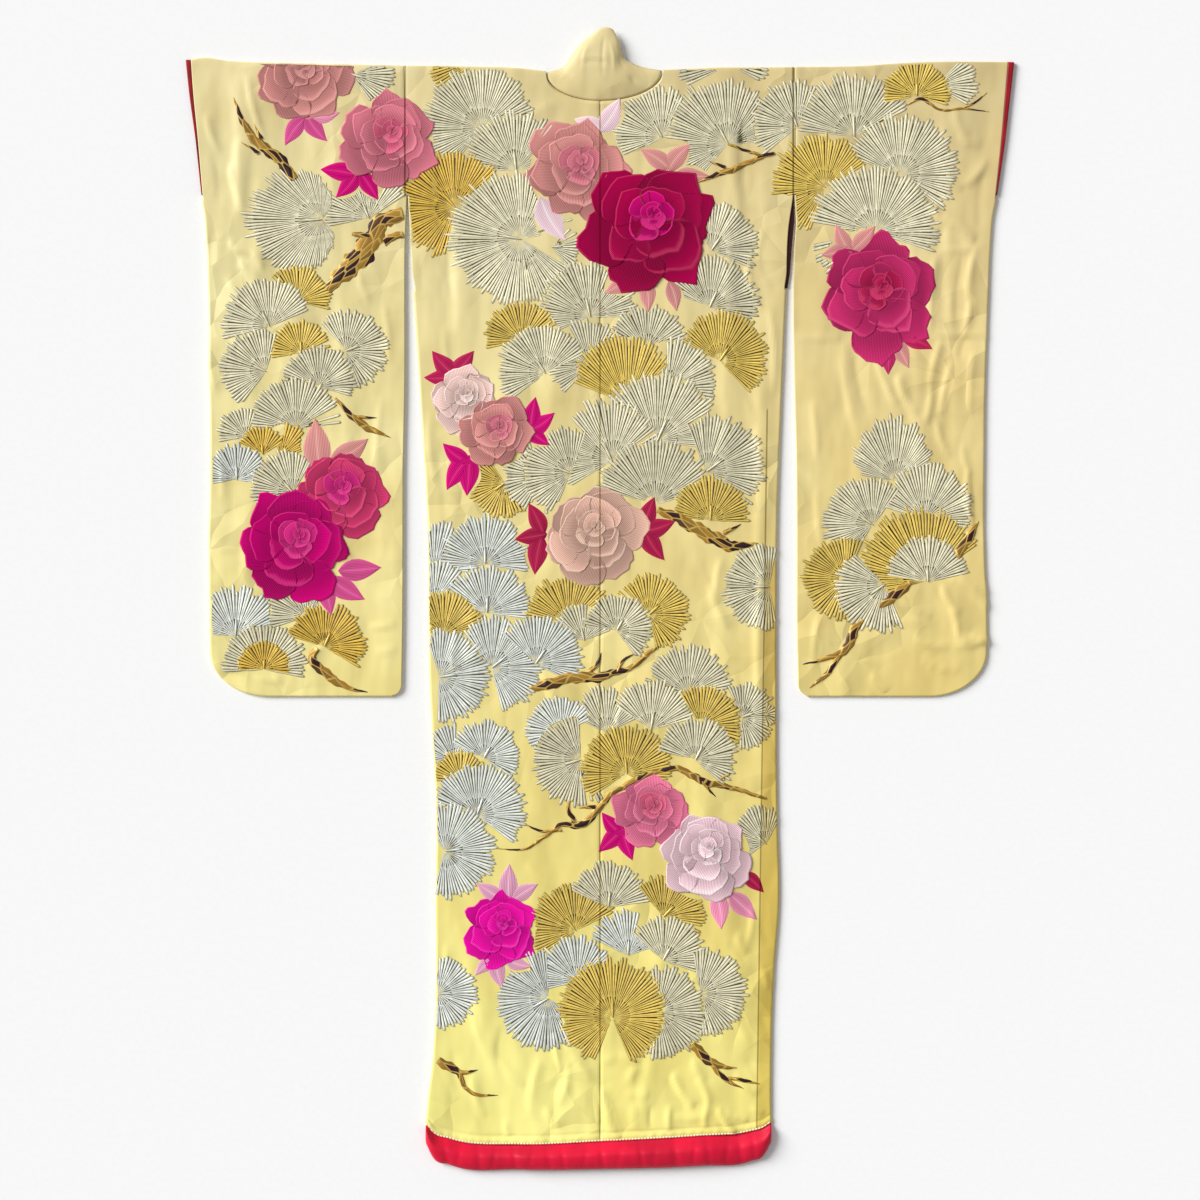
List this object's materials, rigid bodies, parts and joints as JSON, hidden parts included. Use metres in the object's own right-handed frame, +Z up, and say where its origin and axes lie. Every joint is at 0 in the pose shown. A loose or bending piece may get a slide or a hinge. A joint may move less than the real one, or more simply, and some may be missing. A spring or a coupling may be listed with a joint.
{
  "type": "uchikake wedding kimono, laid flat with its back up",
  "caption": "Pale yellow silk uchikake bridal kimono with long hanging sleeves, wide collar, red cuff edges and padded red hem, laid flat back up.",
  "frame": {"origin": "middle of the footprint, on the surface that the garment lies on", "axes": "+Y from hem to collar, +X towards the wearer's right sleeve, +Z up out of the back of the garment"},
  "size_m": [1.34, 1.8476, 0.0228],
  "materials": {
    "yellow_silk": "satin",
    "red_lining": "satin",
    "maroon_lining": "matte"
  },
  "bodies": {
    "root": {"body_left": "yellow_silk", "body_right": "yellow_silk", "overlap_left": "yellow_silk", "overlap_right": "yellow_silk", "sleeve_left": "yellow_silk", "sleeve_right": "yellow_silk", "collar": "yellow_silk", "cuff_left": "red_lining", "cuff_right": "red_lining", "hem_back": "red_lining", "hem_left": "red_lining", "hem_right": "red_lining", "side_lining": "maroon_lining"}
  },
  "joints": []
}
